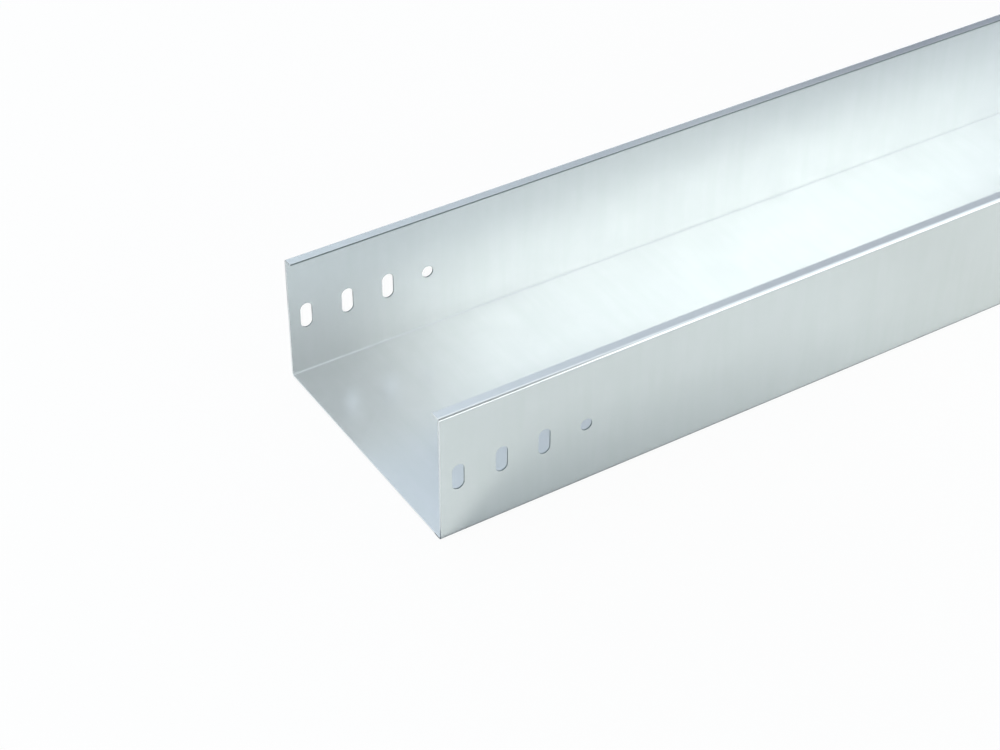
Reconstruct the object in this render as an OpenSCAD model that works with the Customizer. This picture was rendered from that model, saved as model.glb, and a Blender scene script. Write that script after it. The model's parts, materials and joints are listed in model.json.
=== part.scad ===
// Trough cable tray: a channel folded from one sheet of galvanised steel.
// A plain floor, two upright walls and a short lip turned inwards along the top of each wall.
// Both walls carry a row of upright bolt slots and one round earthing hole near each end.
// X runs along the tray, Y across it and Z up. The origin is the middle of the floor's underside.

/* [Section] */
// Clear width between the two walls
inside_width = 200; // [100:10:400]
// Height from the underside of the floor to the top of the lips
overall_height = 100; // [50:5:200]
// Width of each lip, from the wall's outer face to the lip's free edge
lip_width = 8.4; // [6:0.2:25]
// Thickness of the sheet
sheet_thickness = 1.2; // [0.8:0.1:2]
// Radius on the inside of each fold
fold_radius = 1.2; // [0.6:0.1:3]

/* [Length] */
// Length of the tray from end to end
tray_length = 2000; // [500:100:6000]

/* [Splice slots] */
// Number of slots in each row
slot_count = 3; // [1:1:6]
// Width of a slot along the wall
slot_width = 9; // [6:0.5:14]
// Height of a slot, round ends included
slot_height = 20; // [16:1:28]
// Distance from the tray's end to the middle of the first slot
first_slot_inset = 13.5; // [9:0.5:40]
// Distance between the middles of neighbouring slots
slot_pitch = 32.5; // [18:0.5:60]
// How far the row of slots and the earthing hole lies below the middle of the wall
row_drop = 2; // [-5:0.5:5]

/* [Earthing hole] */
// Diameter of the round hole
earthing_hole_diameter = 9; // [5:0.5:14]
// Distance from the middle of the last slot to the middle of the round hole
earthing_hole_pitch = 32.5; // [18:0.5:60]

/* [Hidden] */

// Number of sides that a full circle is drawn with
$fn = 96;

// Outside of the folded channel
outer_width = inside_width + 2 * sheet_thickness;
outer_fold_radius = fold_radius + sheet_thickness;

// Open top between the free edges of the lips
mouth_width = outer_width - 2 * lip_width;

// Row of holes: its height above the underside, and the round hole's distance from the tray's end
row_height = overall_height / 2 - row_drop;
earthing_hole_inset = first_slot_inset + (slot_count - 1) * slot_pitch + earthing_hole_pitch;

// Each punch passes through both walls and stands proud of them by this much at either side
punch_overrun = 5;
punch_length = outer_width + 2 * punch_overrun;

// Box outline with round corners, centred on the upright axis and standing on the level one
module round_cornered_box(width, height, radius) {
  translate([-width / 2, radius])
    square([width, height - 2 * radius]);
  translate([radius - width / 2, 0])
    square([width - 2 * radius, height]);
  for (across = [radius - width / 2, width / 2 - radius], up = [radius, height - radius])
    translate([across, up])
      circle(r = radius);
}

// End view of the sheet after folding: the same thickness all the way round, open between the lips
module folded_section() {
  difference() {
    round_cornered_box(outer_width, overall_height, outer_fold_radius);
    translate([0, sheet_thickness])
      round_cornered_box(inside_width, overall_height - 2 * sheet_thickness, fold_radius);
    translate([-mouth_width / 2, overall_height / 2])
      square([mouth_width, overall_height]);
  }
}

// Punch for one upright slot with round ends
module slot_punch() {
  straight_height = slot_height - slot_width;
  rotate([90, 0, 0])
    linear_extrude(height = punch_length, center = true) {
      square([slot_width, straight_height], center = true);
      for (side = [-1, 1])
        translate([0, side * straight_height / 2])
          circle(d = slot_width);
    }
}

// Punch for the round earthing hole
module earthing_hole_punch() {
  rotate([90, 0, 0])
    cylinder(d = earthing_hole_diameter, h = punch_length, center = true);
}

// Punches for both walls at the end where X is negative
module end_punches() {
  translate([-tray_length / 2, 0, row_height]) {
    for (i = [0 : slot_count - 1])
      translate([first_slot_inset + i * slot_pitch, 0, 0])
        slot_punch();
    translate([earthing_hole_inset, 0, 0])
      earthing_hole_punch();
  }
}

// The whole tray: the folded section drawn out to length, with the same holes at both ends
module tray() {
  color("#c8d0d4")
    difference() {
      rotate([90, 0, 90])
        linear_extrude(height = tray_length, center = true)
          folded_section();
      end_punches();
      mirror([1, 0, 0])
        end_punches();
    }
}

tray();
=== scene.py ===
"""Looks of a trough cable tray, with its stage, light and camera.

The tray is one sheet of galvanised steel, punched and then folded.
"""

import json
import math

import bpy
from mathutils import Matrix, Quaternion, Vector


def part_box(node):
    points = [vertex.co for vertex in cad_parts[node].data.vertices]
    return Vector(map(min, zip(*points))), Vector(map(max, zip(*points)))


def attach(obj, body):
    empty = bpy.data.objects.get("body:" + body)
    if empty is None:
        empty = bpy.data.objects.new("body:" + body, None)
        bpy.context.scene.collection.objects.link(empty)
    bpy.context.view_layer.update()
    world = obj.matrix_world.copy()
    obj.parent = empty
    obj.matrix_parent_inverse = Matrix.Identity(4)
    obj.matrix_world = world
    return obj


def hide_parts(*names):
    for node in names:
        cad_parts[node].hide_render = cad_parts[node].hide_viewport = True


bl_info = {
    "name": "Trough cable tray",
    "version": (1, 0, 0),
    "blender": (4, 5, 0),
    "location": "3D View > Sidebar > Cable tray",
    "description": "A punched and folded cable tray of galvanised sheet, and the studio it is shown in",
    "category": "Add Mesh",
}

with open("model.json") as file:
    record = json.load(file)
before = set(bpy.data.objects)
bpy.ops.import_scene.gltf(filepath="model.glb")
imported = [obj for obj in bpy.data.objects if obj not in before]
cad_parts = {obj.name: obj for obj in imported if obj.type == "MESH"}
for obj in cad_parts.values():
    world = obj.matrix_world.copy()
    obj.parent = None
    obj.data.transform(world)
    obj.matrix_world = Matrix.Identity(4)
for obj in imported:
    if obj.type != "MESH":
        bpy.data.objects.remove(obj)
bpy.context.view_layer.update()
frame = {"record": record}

MM = 0.001

# The tray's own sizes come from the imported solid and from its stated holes.
tray_low, tray_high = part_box("tray")
mounts = {mount["name"]: mount for mount in frame["record"]["mounts"]}
slot_row = mounts["splice_slots_left_near"]
earthing_pair = mounts["earthing_holes_near"]
slot_row_half = (slot_row["dims"]["count"] - 1) * slot_row["dims"]["spacing_x_mm"] * MM / 2

# Points of the tray closer than this count as one.
TOLERANCE = 0.01 * MM

# Layout of the stage, in metres. The softbox and the black board are placed by a turn and a rise, in degrees,
# and a distance, all from the middle of the view. Each ramp says where on a sheet its tone starts to change
# and where the change ends.
VIEW_MIDDLE = Vector((-0.75, 0.0, 0.05))
ALONG_TRAY = (1.0, 0.0, 0.0)
FLAT = Quaternion()
UPRIGHT = Quaternion((1, 0, 0), math.pi / 2)

# The floor lies a hair below the tray, so that the two faces do not fight.
FLOOR_PLACE = (0, 0, -0.2 * MM)
FLOOR_SIZE = (40, 40)

# The softbox lights the inside of the tray. The strip light, mirrored by the near wall's inside, brightens
# the far wall's upper band.
SOFTBOX_PLACE = (162.9, 24.0, 1.82)
SOFTBOX_SIZE = (2.55, 1.10)
STRIP_PLACE = (-0.42, 0.2, 0.255)
STRIP_SIZE = (0.40, 0.03)
STRIP_TILT = Quaternion((1, 0, 0), -math.pi / 4)

# The far lip mirrors the low board, the near lip the high board and the shown end's corner the black board.
LOW_BOARD_PLACE = (-0.3, 0.2, 0.185)
LOW_BOARD_SIZE = (1.6, 0.11)
LOW_BOARD_RAMP = (-0.75, -0.08)
HIGH_BOARD_PLACE = (0.3, 1.0, 1.26)
HIGH_BOARD_SIZE = (2.2, 0.6)
HIGH_BOARD_RAMP = (-1.08, 0.0)
BLACK_BOARD_PLACE = (196.2, 46.5, 0.55)
BLACK_BOARD_SIZE = (0.50, 0.465)

# The near wall mirrors the front card, whose grey is painted shade of the floor before the tray, darker
# further along it.
# Its painted shadow of the tray near the wall's foot is cut off by a slanting line.
FRONT_CARD_PLACE = (0, -0.2275, 0)
FRONT_CARD_SIZE = (2.1, 0.25)
FRONT_CARD_RAMP = (-0.64, -0.51)
SHADE_MIDDLE = (-0.965, 0.125, 0)
SHADE_REACH = (0.46, 0.075, 1.0)
SHADE_SLANT = (1.0, 1.8, 0.0)
SHADE_RAMP = (-0.782, -0.754)

# The bends mirror the dark cards, and the narrow one, a painted contact shadow, draws a thin line along the
# near wall's foot.
FAR_FRONT_CARD_PLACE = (0, -0.76, 0)
FAR_FRONT_CARD_SIZE = (2.2, 0.8)
FOOT_SHADOW_CARD_PLACE = (0, -0.0985, 0)
FOOT_SHADOW_CARD_SIZE = (2.1, 0.012)
BACK_CARD_PLACE = (0, 0.62, 0)
BACK_CARD_SIZE = (2.2, 0.9)

PAPER_ROUGHNESS = 0.9

# The camera sees from a centimetre off to well past the floor's edge.
SENSOR_WIDTH_MM = 36.0
CLIP_START = 0.01
CLIP_END = 100.0

# Mix and Compare nodes repeat their sockets for each type of value: these are for colours and for counts.
FIRST_COLOUR, SECOND_COLOUR, MIXED_COLOUR = 6, 7, 2
FIRST_COUNT, SECOND_COUNT = 2, 3


def linear(hex_colour):
    """The linear RGBA of an sRGB hex colour."""
    channels = [int(hex_colour[i : i + 2], 16) / 255 for i in (1, 3, 5)]
    return [c / 12.92 if c <= 0.04045 else ((c + 0.055) / 1.055) ** 2.4 for c in channels] + [1.0]


def add_node(tree, kind, inputs=None, **settings):
    """Add a node, with its own settings, and with inputs that are plain values or sockets to link."""
    node = tree.nodes.new(kind)
    for name, value in settings.items():
        setattr(node, name, value)
    for name, value in (inputs or {}).items():
        if isinstance(value, bpy.types.NodeSocket):
            tree.links.new(value, node.inputs[name])
        else:
            node.inputs[name].default_value = value
    return node


class TraySettings(bpy.types.PropertyGroup):
    """Sizes of the folded sheet and of its holes."""

    length: bpy.props.FloatProperty(
        name="Length", description="Length of the tray from end to end",
        default=tray_high.x - tray_low.x, unit="LENGTH")
    width: bpy.props.FloatProperty(
        name="Width", description="Width over the outside of the two walls",
        default=tray_high.y - tray_low.y, unit="LENGTH")
    height: bpy.props.FloatProperty(
        name="Height", description="Height from the underside to the top of the lips",
        default=tray_high.z - tray_low.z, unit="LENGTH")
    lip_width: bpy.props.FloatProperty(
        name="Lip width", description="From the wall's outer face to the lip's free edge",
        default=8.4 * MM, unit="LENGTH")
    sheet: bpy.props.FloatProperty(
        name="Sheet thickness", description="Thickness of the sheet",
        default=slot_row["dims"]["length_mm"] * MM, unit="LENGTH")
    fold_radius: bpy.props.FloatProperty(
        name="Fold radius", description="Radius on the inside of each fold",
        default=1.2 * MM, unit="LENGTH")
    fold_steps: bpy.props.IntProperty(
        name="Fold steps", description="Number of points along each fold's arc",
        default=10, min=1)
    slot_count: bpy.props.IntProperty(
        name="Slots", description="Number of slots in each row",
        default=slot_row["dims"]["count"], min=1)
    slot_width: bpy.props.FloatProperty(
        name="Slot width", description="Width of a slot along the wall",
        default=2 * slot_row["dims"]["hole_r_mm"] * MM, unit="LENGTH")
    slot_height: bpy.props.FloatProperty(
        name="Slot height", description="Height of a slot, round ends included",
        default=slot_row["dims"]["slot_length_mm"] * MM, unit="LENGTH")
    slot_pitch: bpy.props.FloatProperty(
        name="Slot pitch", description="Distance between the middles of neighbouring slots",
        default=slot_row["dims"]["spacing_x_mm"] * MM, unit="LENGTH")
    first_slot_inset: bpy.props.FloatProperty(
        name="First slot inset", description="From the tray's end to the middle of the first slot",
        default=slot_row["pos_m"][0] - slot_row_half - tray_low.x, unit="LENGTH")
    row_height: bpy.props.FloatProperty(
        name="Row height", description="Height of the holes' middles above the underside",
        default=slot_row["pos_m"][2] - tray_low.z, unit="LENGTH")
    earthing_hole: bpy.props.FloatProperty(
        name="Earthing hole", description="Diameter of the round hole after each row of slots",
        default=2 * earthing_pair["dims"]["hole_r_mm"] * MM, unit="LENGTH")
    earthing_inset: bpy.props.FloatProperty(
        name="Earthing hole inset", description="From the tray's end to the middle of the round hole",
        default=(tray_high.x - tray_low.x - earthing_pair["dims"]["spacing_x_mm"] * MM) / 2, unit="LENGTH")
    round_steps: bpy.props.IntProperty(
        name="Round steps", description="Number of points along a quarter of a hole's round edge",
        default=10, min=1)
    punch_overrun: bpy.props.FloatProperty(
        name="Punch overrun", description="How much longer a punch is than the tray is wide",
        default=10 * MM, unit="LENGTH")
    edge_round: bpy.props.FloatProperty(
        name="Edge round", description="Rounding that shearing and punching leave on the sheet's edges",
        default=0.2 * MM, unit="LENGTH")
    edge_steps: bpy.props.IntProperty(
        name="Edge steps", description="Number of faces across each rounded edge",
        default=2, min=1)
    edge_angle: bpy.props.FloatProperty(
        name="Edge angle", description="Edges that turn by more than this are rounded",
        default=math.radians(40), subtype="ANGLE")


class FinishSettings(bpy.types.PropertyGroup):
    """Colours and surface of the zinc and of the cut edges."""

    zinc: bpy.props.FloatVectorProperty(
        name="Zinc", description="Colour of the zinc coat",
        default=linear("#F7F9F8"), size=4, subtype="COLOR", min=0, max=1)
    zinc_cloud: bpy.props.FloatVectorProperty(
        name="Zinc cloud", description="Colour of the soft clouds in the zinc coat",
        default=linear("#F5F7F6"), size=4, subtype="COLOR", min=0, max=1)
    zinc_line: bpy.props.FloatVectorProperty(
        name="Zinc line", description="Colour of the faint lines that the rolls leave in the zinc coat",
        default=linear("#F3F6F4"), size=4, subtype="COLOR", min=0, max=1)
    zinc_metal: bpy.props.FloatProperty(
        name="Zinc metal",
        description="Share of the zinc that mirrors, the rest scattering light as fine crystals do",
        default=0.70, min=0, max=1, subtype="FACTOR")
    zinc_rough_least: bpy.props.FloatProperty(
        name="Least zinc roughness", description="Roughness of the zinc between its clouds",
        default=0.235, min=0, max=1, subtype="FACTOR")
    zinc_rough_most: bpy.props.FloatProperty(
        name="Most zinc roughness", description="Roughness of the zinc in its clouds",
        default=0.265, min=0, max=1, subtype="FACTOR")
    cloud_size: bpy.props.FloatProperty(
        name="Cloud size", description="Size of the clouds in the zinc coat",
        default=22 * MM, unit="LENGTH")
    line_spacing: bpy.props.FloatProperty(
        name="Line spacing", description="Spacing of the lines that the rolls leave",
        default=9 * MM, unit="LENGTH")
    line_length: bpy.props.FloatProperty(
        name="Line length", description="Length of the lines that the rolls leave",
        default=90 * MM, unit="LENGTH")
    sheared_steel: bpy.props.FloatVectorProperty(
        name="Sheared steel", description="Colour of the steel on the sheared ends",
        default=linear("#E4E8EA"), size=4, subtype="COLOR", min=0, max=1)
    sheared_tears: bpy.props.FloatVectorProperty(
        name="Sheared tears", description="Colour of the tears on the sheared ends",
        default=linear("#C4CACD"), size=4, subtype="COLOR", min=0, max=1)
    # A much darker copy of the sheared steel: painted shade in the holes and along the lips' slit edges.
    shaded_punched_steel: bpy.props.FloatVectorProperty(
        name="Punched steel",
        description="Colour of the steel in the holes and on the slit edges of the lips",
        default=linear("#7E8788"), size=4, subtype="COLOR", min=0, max=1)
    shaded_punched_tears: bpy.props.FloatVectorProperty(
        name="Punched tears", description="Colour of the tears in the holes and on the slit edges",
        default=linear("#5E6667"), size=4, subtype="COLOR", min=0, max=1)
    tear_size: bpy.props.FloatProperty(
        name="Tear size", description="Size of the tears on a cut edge",
        default=0.8 * MM, unit="LENGTH")
    cut_roughness: bpy.props.FloatProperty(
        name="Cut roughness", description="Roughness of the bare steel on a cut edge",
        default=0.42, min=0, max=1, subtype="FACTOR")


class StageSettings(bpy.types.PropertyGroup):
    """Colours of the floor, light, boards and cards, and the camera."""

    floor: bpy.props.FloatVectorProperty(
        name="Floor", description="Colour of the studio's paper floor",
        default=linear("#F4F4F2"), size=4, subtype="COLOR", min=0, max=1)
    floor_glow: bpy.props.FloatProperty(
        name="Floor glow", description="Share of the floor's look that is plain white",
        default=0.93, min=0, max=1, subtype="FACTOR")
    surroundings: bpy.props.FloatVectorProperty(
        name="Surroundings", description="Colour of the light from all round",
        default=linear("#EEF7FF"), size=4, subtype="COLOR", min=0, max=1)
    surroundings_brightness: bpy.props.FloatProperty(
        name="Surroundings brightness",
        description="How bright the light from all round is, where 1 is white",
        default=1.05, min=0)
    softbox: bpy.props.FloatVectorProperty(
        name="Softbox colour", description="Colour of the light of the softbox and of the strip",
        default=linear("#FEFFF7"), size=4, subtype="COLOR", min=0, max=1)
    softbox_brightness: bpy.props.FloatProperty(
        name="Softbox brightness", description="How bright the softbox is, where 1 is white",
        default=1.25, min=0)
    strip_brightness: bpy.props.FloatProperty(
        name="Strip brightness", description="How bright the strip light is, where 1 is white",
        default=2.3, min=0)
    back_board: bpy.props.FloatVectorProperty(
        name="Back board", description="Colour of the pale side of the two boards that the lips mirror",
        default=linear("#EEF5FD"), size=4, subtype="COLOR", min=0, max=1)
    back_board_shade: bpy.props.FloatVectorProperty(
        name="Back board shade", description="Colour of the dark side of those boards",
        default=linear("#193059"), size=4, subtype="COLOR", min=0, max=1)
    black_board: bpy.props.FloatVectorProperty(
        name="Black board", description="Colour of the board that the shown end mirrors",
        default=linear("#242729"), size=4, subtype="COLOR", min=0, max=1)
    dark_card: bpy.props.FloatVectorProperty(
        name="Dark card", description="Colour of the cards that the bends of the two walls mirror",
        default=linear("#5A6268"), size=4, subtype="COLOR", min=0, max=1)
    # The front card's grey and its darker far side are painted shade of the floor, and its dark spot is a
    # painted shadow.
    card: bpy.props.FloatVectorProperty(
        name="Card", description="Colour of the card that the near wall mirrors",
        default=linear("#DDDFDB"), size=4, subtype="COLOR", min=0, max=1)
    card_far_painted_shade: bpy.props.FloatVectorProperty(
        name="Card far side", description="Colour of that card further along the tray",
        default=linear("#C9CAC5"), size=4, subtype="COLOR", min=0, max=1)
    card_painted_shadow: bpy.props.FloatVectorProperty(
        name="Card shade", description="Colour of that card's dark spot, at the foot of the near wall",
        default=linear("#959DA0"), size=4, subtype="COLOR", min=0, max=1)
    camera_place: bpy.props.FloatVectorProperty(
        name="Camera place", description="Where the camera stands",
        default=(-1.515557, -0.976767, 0.935334), size=3, subtype="TRANSLATION", unit="LENGTH")
    camera_turn: bpy.props.FloatProperty(
        name="Camera turn", description="Turn of the view about the upright axis, 0 along +Y",
        default=math.radians(-32.587), subtype="ANGLE")
    camera_tilt: bpy.props.FloatProperty(
        name="Camera tilt", description="How far the view points below the horizon",
        default=math.radians(38.224), subtype="ANGLE")
    camera_roll: bpy.props.FloatProperty(
        name="Camera roll", description="Turn of the view about its own axis",
        default=math.radians(0.383), subtype="ANGLE")
    lens: bpy.props.FloatProperty(
        name="Lens", description="Focal length in millimetres on a 36 mm wide sensor",
        default=77.237, min=1)


def new_material(name):
    """A new material, its node tree and its shader."""
    material = bpy.data.materials.new(name)
    material.use_nodes = True
    return material, material.node_tree, material.node_tree.nodes["Principled BSDF"]


def zinc_material(finish):
    """Hot-dip galvanised sheet steel, skin-passed between rolls."""
    # To the eye it is a pale, satin silver, faintly clouded and crossed by fine lines.
    material, tree, shader = new_material("Galvanised sheet, skin-passed")
    shader.inputs["Metallic"].default_value = finish.zinc_metal
    place = add_node(tree, "ShaderNodeTexCoord").outputs["Object"]

    # Clouds where the zinc set at different speeds: barely a step of tone, and a little duller.
    clouds = add_node(
        tree, "ShaderNodeTexNoise",
        {"Vector": place, "Scale": 1 / finish.cloud_size, "Detail": 3.0, "Roughness": 0.55}).outputs["Fac"]
    cloud = add_node(tree, "ShaderNodeMapRange", {"Value": clouds, "From Min": 0.35, "From Max": 0.65})
    rough = add_node(
        tree, "ShaderNodeMapRange",
        {"Value": clouds, "From Min": 0.3, "From Max": 0.7,
         "To Min": finish.zinc_rough_least, "To Max": finish.zinc_rough_most})

    # Roll lines run round the section, so they are short along X and long across it. The real ones lie a few
    # hundredths of a millimetre apart, and are drawn coarser so that they show.
    lines_place = add_node(
        tree, "ShaderNodeMapping",
        {"Vector": place, "Scale": (1 / finish.line_spacing, 1 / finish.line_length, 1 / finish.line_length)})
    lines = add_node(
        tree, "ShaderNodeTexNoise",
        {"Vector": lines_place.outputs["Vector"], "Scale": 1.0, "Detail": 2.0, "Roughness": 0.6})
    line = add_node(
        tree, "ShaderNodeMapRange", {"Value": lines.outputs["Fac"], "From Min": 0.4, "From Max": 0.75})

    clouded = add_node(
        tree, "ShaderNodeMix",
        {"Factor": cloud.outputs["Result"], FIRST_COLOUR: finish.zinc, SECOND_COLOUR: finish.zinc_cloud},
        data_type="RGBA")
    lined = add_node(
        tree, "ShaderNodeMix",
        {"Factor": line.outputs["Result"], FIRST_COLOUR: clouded.outputs[MIXED_COLOUR],
         SECOND_COLOUR: finish.zinc_line}, data_type="RGBA")
    tree.links.new(lined.outputs[MIXED_COLOUR], shader.inputs["Base Color"])
    tree.links.new(rough.outputs["Result"], shader.inputs["Roughness"])
    return material


def cut_material(name, steel, torn_steel, finish):
    """Bare mild steel on a cut edge."""
    # To the eye it is a dull, even grey, broken up by the fine tears that the tool leaves.
    material, tree, shader = new_material(name)
    shader.inputs["Metallic"].default_value = 1.0
    shader.inputs["Roughness"].default_value = finish.cut_roughness
    place = add_node(tree, "ShaderNodeTexCoord").outputs["Object"]
    tears = add_node(
        tree, "ShaderNodeTexNoise", {"Vector": place, "Scale": 1 / finish.tear_size, "Detail": 2.0})
    torn = add_node(
        tree, "ShaderNodeMapRange", {"Value": tears.outputs["Fac"], "From Min": 0.45, "From Max": 0.7})
    tone = add_node(
        tree, "ShaderNodeMix",
        {"Factor": torn.outputs["Result"], FIRST_COLOUR: steel, SECOND_COLOUR: torn_steel}, data_type="RGBA")
    tree.links.new(tone.outputs[MIXED_COLOUR], shader.inputs["Base Color"])
    return material


def centred_line(tree, axis, length):
    """A straight curve of that length along one axis, with its middle at the origin."""
    back = add_node(tree, "ShaderNodeMath", {0: length, 1: -0.5}, operation="MULTIPLY").outputs[0]
    front = add_node(tree, "ShaderNodeMath", {0: length, 1: 0.5}, operation="MULTIPLY").outputs[0]
    line = add_node(
        tree, "GeometryNodeCurvePrimitiveLine",
        {"Start": add_node(tree, "ShaderNodeCombineXYZ", {axis: back}).outputs[0],
         "End": add_node(tree, "ShaderNodeCombineXYZ", {axis: front}).outputs[0]})
    return line.outputs["Curve"]


def folded_sheet_tree(zinc, sheared_steel, shaded_punched_steel):
    """Geometry Nodes that fold a sheet along its centre line, draw it out to length and punch both walls."""
    tree = bpy.data.node_groups.new("Folded and punched sheet", "GeometryNodeTree")
    socket = tree.interface.new_socket
    socket("Centre line", in_out="INPUT", socket_type="NodeSocketGeometry")
    sizes = (
        "Length", "Sheet thickness", "Fold radius", "Punch length", "Slot width", "Slot height", "Slot pitch",
        "First slot inset", "Row height", "Earthing hole", "Earthing hole inset", "Lip reach")
    for name in sizes:
        socket(name, in_out="INPUT", socket_type="NodeSocketFloat").subtype = "DISTANCE"
    for name in ("Slots", "Fold steps", "Round steps"):
        socket(name, in_out="INPUT", socket_type="NodeSocketInt")
    socket("Tray", in_out="OUTPUT", socket_type="NodeSocketGeometry")
    given = add_node(tree, "NodeGroupInput").outputs

    # Fold: the centre line's corners become arcs, and a short line across it gives the sheet its thickness.
    half_sheet = add_node(
        tree, "ShaderNodeMath", {0: given["Sheet thickness"], 1: 0.5}, operation="MULTIPLY").outputs[0]
    middle_radius = add_node(
        tree, "ShaderNodeMath", {0: given["Fold radius"], 1: half_sheet}, operation="ADD").outputs[0]
    centre_line = add_node(tree, "GeometryNodeMeshToCurve", {"Mesh": given["Centre line"]})
    folded = add_node(
        tree, "GeometryNodeFilletCurve",
        {"Curve": centre_line.outputs["Curve"], "Count": given["Fold steps"], "Radius": middle_radius},
        mode="POLY")
    upright = add_node(tree, "GeometryNodeSetCurveNormal", {"Curve": folded.outputs["Curve"]}, mode="Z_UP")
    across = centred_line(tree, "X", given["Sheet thickness"])
    end_view = add_node(
        tree, "GeometryNodeCurveToMesh", {"Curve": upright.outputs["Curve"], "Profile Curve": across})

    # The end view's outline is made of the edges that have a face on one side only.
    faces_beside = add_node(tree, "GeometryNodeInputMeshEdgeNeighbors").outputs["Face Count"]
    one_face = add_node(
        tree, "FunctionNodeCompare", {FIRST_COUNT: faces_beside, SECOND_COUNT: 1},
        data_type="INT", operation="EQUAL")
    outline = add_node(
        tree, "GeometryNodeMeshToCurve",
        {"Mesh": end_view.outputs["Mesh"], "Selection": one_face.outputs["Result"]})

    # Draw the outline out to length, then lay it along X.
    run = centred_line(tree, "Z", given["Length"])
    channel = add_node(
        tree, "GeometryNodeCurveToMesh",
        {"Curve": run, "Profile Curve": outline.outputs["Curve"], "Fill Caps": True})
    laid = add_node(
        tree, "GeometryNodeTransform",
        {"Geometry": channel.outputs["Mesh"], "Rotation": (math.pi / 2, 0, math.pi / 2)})
    coated = add_node(
        tree, "GeometryNodeSetMaterial", {"Geometry": laid.outputs["Geometry"], "Material": zinc})

    # Slot punches: a row of them, each long enough to pass through both walls.
    half_length = add_node(
        tree, "ShaderNodeMath", {0: given["Length"], 1: 0.5}, operation="MULTIPLY").outputs[0]
    shown_end = add_node(tree, "ShaderNodeMath", {0: half_length, 1: -1.0}, operation="MULTIPLY").outputs[0]
    half_width = add_node(
        tree, "ShaderNodeMath", {0: given["Slot width"], 1: 0.5}, operation="MULTIPLY").outputs[0]
    slot_box = add_node(
        tree, "GeometryNodeCurvePrimitiveQuadrilateral",
        {"Width": given["Slot width"], "Height": given["Slot height"]})
    slot_outline = add_node(
        tree, "GeometryNodeFilletCurve",
        {"Curve": slot_box.outputs["Curve"], "Count": given["Round steps"], "Radius": half_width,
         "Limit Radius": True}, mode="POLY")
    stroke = centred_line(tree, "Z", given["Punch length"])
    slot_sides = add_node(
        tree, "GeometryNodeCurveToMesh",
        {"Curve": stroke, "Profile Curve": slot_outline.outputs["Curve"], "Fill Caps": True})
    slot_punch = add_node(
        tree, "GeometryNodeMergeByDistance", {"Geometry": slot_sides.outputs["Mesh"], "Distance": TOLERANCE})
    first_slot = add_node(
        tree, "ShaderNodeMath", {0: shown_end, 1: given["First slot inset"]}, operation="ADD").outputs[0]
    row_start = add_node(tree, "ShaderNodeCombineXYZ", {"X": first_slot, "Z": given["Row height"]}).outputs[0]
    row_step = add_node(tree, "ShaderNodeCombineXYZ", {"X": given["Slot pitch"]}).outputs[0]
    slot_places = add_node(
        tree, "GeometryNodeMeshLine",
        {"Count": given["Slots"], "Start Location": row_start, "Offset": row_step})
    slots = add_node(
        tree, "GeometryNodeInstanceOnPoints",
        {"Points": slot_places.outputs["Mesh"], "Instance": slot_punch.outputs["Geometry"],
         "Rotation": (math.pi / 2, 0, 0)})

    # The round hole's punch, with four quarters of its edge.
    hole_points = add_node(
        tree, "ShaderNodeMath", {0: given["Round steps"], 1: 4.0}, operation="MULTIPLY").outputs[0]
    hole_radius = add_node(
        tree, "ShaderNodeMath", {0: given["Earthing hole"], 1: 0.5}, operation="MULTIPLY").outputs[0]
    hole_punch = add_node(
        tree, "GeometryNodeMeshCylinder",
        {"Vertices": hole_points, "Radius": hole_radius, "Depth": given["Punch length"]})
    hole_x = add_node(
        tree, "ShaderNodeMath", {0: shown_end, 1: given["Earthing hole inset"]}, operation="ADD").outputs[0]
    hole_place = add_node(tree, "ShaderNodeCombineXYZ", {"X": hole_x, "Z": given["Row height"]}).outputs[0]
    hole = add_node(
        tree, "GeometryNodeTransform",
        {"Geometry": hole_punch.outputs["Mesh"], "Translation": hole_place, "Rotation": (math.pi / 2, 0, 0)})

    # The set of punches for one end is turned round for the other.
    one_end = add_node(tree, "GeometryNodeJoinGeometry", {0: hole.outputs["Geometry"]})
    tree.links.new(slots.outputs["Instances"], one_end.inputs[0])
    turned = add_node(
        tree, "GeometryNodeTransform", {"Geometry": one_end.outputs[0], "Rotation": (0, 0, math.pi)})
    both_ends = add_node(tree, "GeometryNodeJoinGeometry", {0: one_end.outputs[0]})
    tree.links.new(turned.outputs["Geometry"], both_ends.inputs[0])
    punches = add_node(tree, "GeometryNodeRealizeInstances", {"Geometry": both_ends.outputs[0]})
    # The punched faces take the darker copy of the cut steel, which is painted shade in the holes.
    bare_punches = add_node(
        tree, "GeometryNodeSetMaterial", {"Geometry": punches.outputs["Geometry"], "Material": shaded_punched_steel})
    punched = add_node(
        tree, "GeometryNodeMeshBoolean",
        {"Mesh 1": coated.outputs["Geometry"], "Mesh 2": bare_punches.outputs["Geometry"]},
        operation="DIFFERENCE", solver="EXACT")

    # The tray's two ends are sheared, and the free edges of the lips, beside the opening, are slit.
    whole = add_node(tree, "GeometryNodeRealizeInstances", {"Geometry": punched.outputs["Mesh"]})
    middle = add_node(
        tree, "ShaderNodeSeparateXYZ", {0: add_node(tree, "GeometryNodeInputPosition").outputs["Position"]})
    along = add_node(tree, "ShaderNodeMath", {0: middle.outputs["X"]}, operation="ABSOLUTE").outputs[0]
    aside = add_node(tree, "ShaderNodeMath", {0: middle.outputs["Y"]}, operation="ABSOLUTE").outputs[0]
    at_end = add_node(
        tree, "FunctionNodeCompare", {"A": along, "B": half_length, "Epsilon": TOLERANCE},
        data_type="FLOAT", operation="EQUAL").outputs["Result"]
    at_opening = add_node(
        tree, "FunctionNodeCompare", {"A": aside, "B": given["Lip reach"], "Epsilon": TOLERANCE},
        data_type="FLOAT", operation="EQUAL").outputs["Result"]
    ends = add_node(
        tree, "GeometryNodeSetMaterial",
        {"Geometry": whole.outputs["Geometry"], "Selection": at_end, "Material": sheared_steel})
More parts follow.
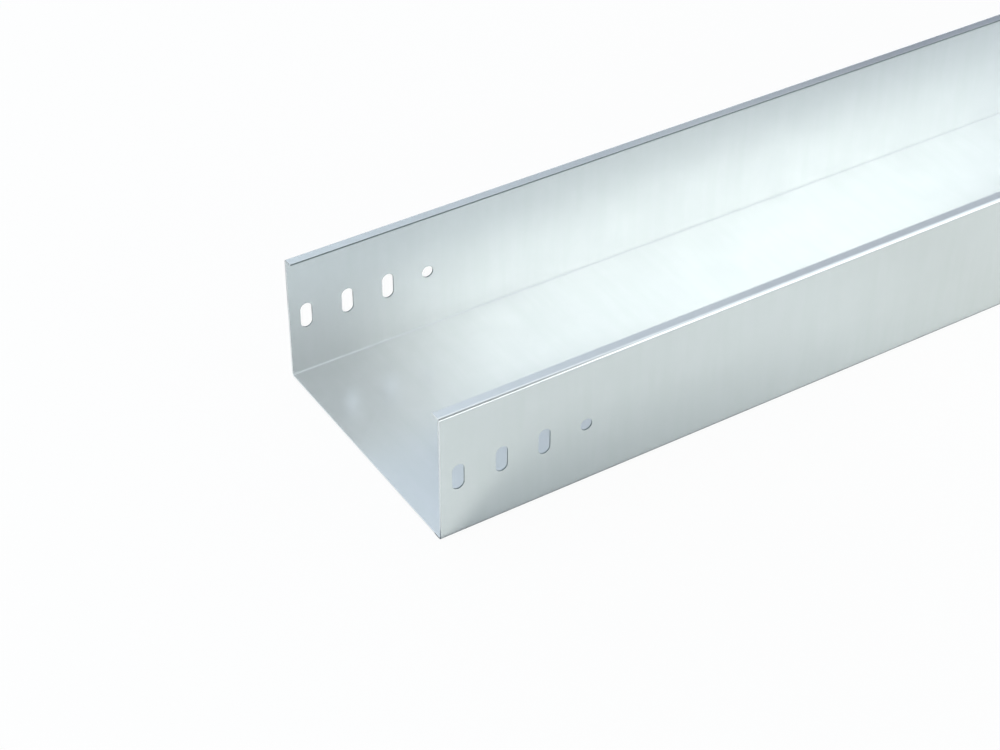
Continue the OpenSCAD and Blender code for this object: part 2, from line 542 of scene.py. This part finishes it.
    # The lips' slit edges take the same darker copy, painted shade along the opening.
    finished = add_node(
        tree, "GeometryNodeSetMaterial",
        {"Geometry": ends.outputs["Geometry"], "Selection": at_opening, "Material": shaded_punched_steel})
    add_node(tree, "NodeGroupOutput", {"Tray": finished.outputs["Geometry"]})
    return tree


class CABLETRAY_OT_fold_sheet(bpy.types.Operator):
    """Punch and fold the tray from one sheet"""

    bl_idname = "cable_tray.fold_sheet"
    bl_label = "Fold the tray"

    def execute(self, context):
        size = context.scene.cable_tray_sizes
        finish = context.scene.cable_tray_finish
        zinc = zinc_material(finish)
        # The cut steel comes in a pale copy for the sheared ends and a dark copy, painted shade, for holes
        # and slit edges.
        sheared_steel = cut_material(
            "Mild steel, sheared", finish.sheared_steel, finish.sheared_tears, finish)
        shaded_punched_steel = cut_material(
            "Mild steel, punched or slit", finish.shaded_punched_steel, finish.shaded_punched_tears, finish)
        tree = folded_sheet_tree(zinc, sheared_steel, shaded_punched_steel)

        # The sheet's centre line in end view, lip to lip: X runs across the tray and Y up it.
        wall = (size.width - size.sheet) / 2
        lip = size.width / 2 - size.lip_width
        floor = size.sheet / 2
        top = size.height - size.sheet / 2
        corners = [(-lip, top), (-wall, top), (-wall, floor), (wall, floor), (wall, top), (lip, top)]
        line = bpy.data.meshes.new("tray_centre_line")
        line.from_pydata([(x, y, 0) for x, y in corners], [(i, i + 1) for i in range(len(corners) - 1)], [])
        tray = bpy.data.objects.new("folded_tray", line)
        context.scene.collection.objects.link(tray)

        fold = tray.modifiers.new("Fold and punch", "NODES")
        fold.node_group = tree
        values = {
            "Length": size.length,
            "Sheet thickness": size.sheet,
            "Fold radius": size.fold_radius,
            "Punch length": size.width + size.punch_overrun,
            "Slot width": size.slot_width,
            "Slot height": size.slot_height,
            "Slot pitch": size.slot_pitch,
            "First slot inset": size.first_slot_inset,
            "Row height": size.row_height,
            "Earthing hole": size.earthing_hole,
            "Earthing hole inset": size.earthing_inset,
            "Lip reach": lip,
            "Slots": size.slot_count,
            "Fold steps": size.fold_steps,
            "Round steps": size.round_steps,
        }
        for item in tree.interface.items_tree:
            if item.name in values:
                fold[item.identifier] = values[item.name]
        edges = tray.modifiers.new("Edge round", "BEVEL")
        edges.width = size.edge_round
        edges.segments = size.edge_steps
        edges.limit_method = "ANGLE"
        edges.angle_limit = size.edge_angle
        normals = tray.modifiers.new("Flat faces stay flat", "WEIGHTED_NORMAL")
        normals.keep_sharp = True

        evaluated = tray.evaluated_get(context.evaluated_depsgraph_get())
        tray_mesh = bpy.data.meshes.new_from_object(evaluated)
        tray_mesh.name = "folded_tray"
        tray.modifiers.clear()
        tray.data = tray_mesh
        bpy.data.meshes.remove(line)
        if not tray_mesh.polygons:
            raise RuntimeError("the folded sheet came out empty")
        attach(tray, "root")
        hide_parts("tray")
        return {"FINISHED"}


def seen_from_tray(turn, rise, distance):
    """The place at that distance from the middle of the view, and the turn of a sheet there that faces it.

    The turn goes from +Y to +X and the rise up from the horizon, both in degrees.
    """
    turn, rise = math.radians(turn), math.radians(rise)
    way = Vector((math.sin(turn) * math.cos(rise), math.cos(turn) * math.cos(rise), math.sin(rise)))
    return VIEW_MIDDLE + distance * way, way.to_track_quat("Z", "Y")


def add_softbox(name, place, size, brightness, colour):
    """Add a softbox that the metal mirrors and the camera does not see."""
    lamp = bpy.data.lights.new(name, "AREA")
    lamp.shape = "RECTANGLE"
    lamp.size, lamp.size_y = size
    # The power that makes the lamp's face as many times brighter than white as asked for.
    lamp.energy = brightness * math.pi * size[0] * size[1]
    lamp.color = colour[:3]
    softbox = bpy.data.objects.new(name, lamp)
    softbox.location, facing = place
    softbox.rotation_euler = facing.to_euler()
    softbox.visible_camera = False
    bpy.context.scene.collection.objects.link(softbox)
    return softbox


def seen_or_mirrored(tree):
    """A socket that is 1 where a surface is seen itself, in metal or through glass, and 0 for its light."""
    path = add_node(tree, "ShaderNodeLightPath").outputs
    mirrored = add_node(
        tree, "ShaderNodeMath", {0: path["Is Glossy Ray"], 1: path["Is Transmission Ray"]},
        operation="MAXIMUM")
    seen = add_node(
        tree, "ShaderNodeMath", {0: path["Is Camera Ray"], 1: mirrored.outputs[0]}, operation="MAXIMUM")
    return seen.outputs[0]


def paper(name, colour):
    """Matt paper or board."""
    # To the eye it is an even, dull face that light falls on and nothing mirrors in.
    material, _, shader = new_material(name)
    shader.inputs["Base Color"].default_value = colour
    shader.inputs["Roughness"].default_value = PAPER_ROUGHNESS
    return material


def lit_paper(name, colour, glow):
    """White paper with a share of its look that is plain white, the rest keeping the tray's shadow."""
    material = paper(name, colour)
    tree = material.node_tree
    share = add_node(tree, "ShaderNodeMath", {0: seen_or_mirrored(tree), 1: glow}, operation="MULTIPLY")
    white = add_node(tree, "ShaderNodeEmission", {"Color": linear("#FFFFFF"), "Strength": 1.0})
    mixed = add_node(
        tree, "ShaderNodeMixShader",
        {0: share.outputs[0], 1: tree.nodes["Principled BSDF"].outputs["BSDF"], 2: white.outputs["Emission"]})
    tree.links.new(mixed.outputs["Shader"], tree.nodes["Material Output"].inputs["Surface"])
    material.cycles.emission_sampling = "NONE"
    return material


def past_line(tree, here, slant, ramp, interpolation="LINEAR"):
    """A socket that ramps from 0 to 1 past a slanting line across a sheet."""
    along = add_node(tree, "ShaderNodeVectorMath", {0: here, 1: slant}, operation="DOT_PRODUCT")
    ramped = add_node(
        tree, "ShaderNodeMapRange",
        {"Value": along.outputs["Value"], "From Min": ramp[0], "From Max": ramp[1]},
        interpolation_type=interpolation)
    return ramped.outputs["Result"]


def ramped_paper(name, pale, dark, ramp):
    """Paper sprayed from pale to dark along the tray."""
    material = paper(name, pale)
    tree = material.node_tree
    here = add_node(tree, "ShaderNodeTexCoord").outputs["Object"]
    darkened = past_line(tree, here, ALONG_TRAY, ramp)
    tone = add_node(
        tree, "ShaderNodeMix", {"Factor": darkened, FIRST_COLOUR: pale, SECOND_COLOUR: dark},
        data_type="RGBA")
    tree.links.new(tone.outputs[MIXED_COLOUR], tree.nodes["Principled BSDF"].inputs["Base Color"])
    return material


def shaded_paper(name, pale, far, ramp, shade):
    """Paper in painted shade, fading to a darker tone along the tray, with a round painted shadow masked off
    by a slanting line.
    """
    material = paper(name, pale)
    tree = material.node_tree
    here = add_node(tree, "ShaderNodeTexCoord").outputs["Object"]
    faded = add_node(
        tree, "ShaderNodeMix",
        {"Factor": past_line(tree, here, ALONG_TRAY, ramp), FIRST_COLOUR: pale, SECOND_COLOUR: far},
        data_type="RGBA")
    place = add_node(
        tree, "ShaderNodeMapping", {"Vector": here, "Location": SHADE_MIDDLE, "Scale": SHADE_REACH},
        vector_type="TEXTURE")
    spot = add_node(
        tree, "ShaderNodeTexGradient", {"Vector": place.outputs["Vector"]}, gradient_type="SPHERICAL")
    unmasked = past_line(tree, here, SHADE_SLANT, SHADE_RAMP, "SMOOTHSTEP")
    # The round spot is the tray's painted contact shadow at the near wall's foot.
    painted = add_node(tree, "ShaderNodeMath", {0: spot.outputs["Fac"], 1: unmasked}, operation="MULTIPLY")
    tone = add_node(
        tree, "ShaderNodeMix",
        {"Factor": painted.outputs[0], FIRST_COLOUR: faded.outputs[MIXED_COLOUR], SECOND_COLOUR: shade},
        data_type="RGBA")
    tree.links.new(tone.outputs[MIXED_COLOUR], tree.nodes["Principled BSDF"].inputs["Base Color"])
    return material


def add_sheet(name, place, size, material):
    """Add a flat sheet to the stage."""
    x, y = size[0] / 2, size[1] / 2
    mesh = bpy.data.meshes.new(name)
    mesh.from_pydata([(-x, -y, 0), (x, -y, 0), (x, y, 0), (-x, y, 0)], [], [(0, 1, 2, 3)])
    mesh.materials.append(material)
    sheet = bpy.data.objects.new(name, mesh)
    sheet.location, facing = place
    sheet.rotation_euler = facing.to_euler()
    bpy.context.scene.collection.objects.link(sheet)
    return sheet


class CABLETRAY_OT_set_stage(bpy.types.Operator):
    """Set up the paper floor, the boards and cards that the metal mirrors, the lamps and the camera"""

    bl_idname = "cable_tray.set_stage"
    bl_label = "Set the stage"

    def execute(self, context):
        scene = context.scene
        stage = scene.cable_tray_stage

        white_paper = lit_paper("White paper", stage.floor, stage.floor_glow)
        low_board = ramped_paper(
            "Low graded board", stage.back_board, stage.back_board_shade, LOW_BOARD_RAMP)
        high_board = ramped_paper(
            "High graded board", stage.back_board, stage.back_board_shade, HIGH_BOARD_RAMP)
        black_board = paper("Black board", stage.black_board)
        front_card = shaded_paper(
            "Graded card", stage.card, stage.card_far_painted_shade, FRONT_CARD_RAMP, stage.card_painted_shadow)
        dark_card = paper("Dark card", stage.dark_card)
        add_sheet("floor", (FLOOR_PLACE, FLAT), FLOOR_SIZE, white_paper)

        # Boards shade the tray as well. Cards lie on the floor, and only the metal mirrors them.
        boards = (
            add_sheet("low_back_board", (LOW_BOARD_PLACE, UPRIGHT), LOW_BOARD_SIZE, low_board),
            add_sheet("high_back_board", (HIGH_BOARD_PLACE, UPRIGHT), HIGH_BOARD_SIZE, high_board),
            add_sheet("black_board", seen_from_tray(*BLACK_BOARD_PLACE), BLACK_BOARD_SIZE, black_board),
        )
        cards = (
            # The front card carries painted shade of the floor and a painted shadow of the tray.
            add_sheet("front_card", (FRONT_CARD_PLACE, FLAT), FRONT_CARD_SIZE, front_card),
            add_sheet("far_front_card", (FAR_FRONT_CARD_PLACE, FLAT), FAR_FRONT_CARD_SIZE, dark_card),
            # The foot card is a painted contact shadow along the near wall's foot.
            add_sheet("foot_shadow_card", (FOOT_SHADOW_CARD_PLACE, FLAT), FOOT_SHADOW_CARD_SIZE, dark_card),
            add_sheet("back_card", (BACK_CARD_PLACE, FLAT), BACK_CARD_SIZE, dark_card),
        )
        for sheet in boards + cards:
            sheet.visible_camera = False
        for card in cards:
            card.visible_diffuse = False
            card.visible_shadow = False

        # The strip is there to be mirrored, and lights nothing else.
        add_softbox(
            "Softbox", seen_from_tray(*SOFTBOX_PLACE), SOFTBOX_SIZE, stage.softbox_brightness, stage.softbox)
        strip = add_softbox(
            "Strip light", (STRIP_PLACE, STRIP_TILT), STRIP_SIZE, stage.strip_brightness, stage.softbox)
        strip.visible_diffuse = False

        world = bpy.data.worlds.new("White studio")
        world.use_nodes = True
        background = world.node_tree.nodes["Background"]
        background.inputs["Color"].default_value = stage.surroundings
        background.inputs["Strength"].default_value = stage.surroundings_brightness
        scene.world = world

        camera = bpy.data.objects.new("Camera", bpy.data.cameras.new("Camera"))
        camera.data.sensor_width = SENSOR_WIDTH_MM
        camera.data.lens = stage.lens
        camera.data.clip_start = CLIP_START
        camera.data.clip_end = CLIP_END
        camera.matrix_world = (
            Matrix.Translation(stage.camera_place)
            @ Matrix.Rotation(stage.camera_turn, 4, "Z")
            @ Matrix.Rotation(math.pi / 2 - stage.camera_tilt, 4, "X")
            @ Matrix.Rotation(stage.camera_roll, 4, "Z"))
        scene.collection.objects.link(camera)
        scene.camera = camera
        scene.view_settings.view_transform = "Standard"
        return {"FINISHED"}


class VIEW3D_PT_cable_tray(bpy.types.Panel):
    """Sizes, finish and stage of the cable tray"""

    bl_label = "Cable tray"
    bl_space_type = "VIEW_3D"
    bl_region_type = "UI"
    bl_category = "Cable tray"

    def draw(self, context):
        groups = (
            (context.scene.cable_tray_sizes, "cable_tray.fold_sheet"),
            (context.scene.cable_tray_finish, None),
            (context.scene.cable_tray_stage, "cable_tray.set_stage"),
        )
        for settings, operator in groups:
            box = self.layout.box()
            for name in settings.__annotations__:
                box.prop(settings, name)
            if operator:
                box.operator(operator)


CLASSES = (
    TraySettings, FinishSettings, StageSettings, CABLETRAY_OT_fold_sheet, CABLETRAY_OT_set_stage,
    VIEW3D_PT_cable_tray)


def register():
    """Add the classes to Blender and their settings to the scene."""
    for cls in CLASSES:
        bpy.utils.register_class(cls)
    bpy.types.Scene.cable_tray_sizes = bpy.props.PointerProperty(type=TraySettings)
    bpy.types.Scene.cable_tray_finish = bpy.props.PointerProperty(type=FinishSettings)
    bpy.types.Scene.cable_tray_stage = bpy.props.PointerProperty(type=StageSettings)


def unregister():
    """Take the settings and the classes out of Blender again."""
    del bpy.types.Scene.cable_tray_stage
    del bpy.types.Scene.cable_tray_finish
    del bpy.types.Scene.cable_tray_sizes
    for cls in reversed(CLASSES):
        bpy.utils.unregister_class(cls)


def main():
    """Make the tray and its stage."""
    register()
    bpy.ops.cable_tray.fold_sheet()
    bpy.ops.cable_tray.set_stage()


if __name__ == "__main__":
    main()
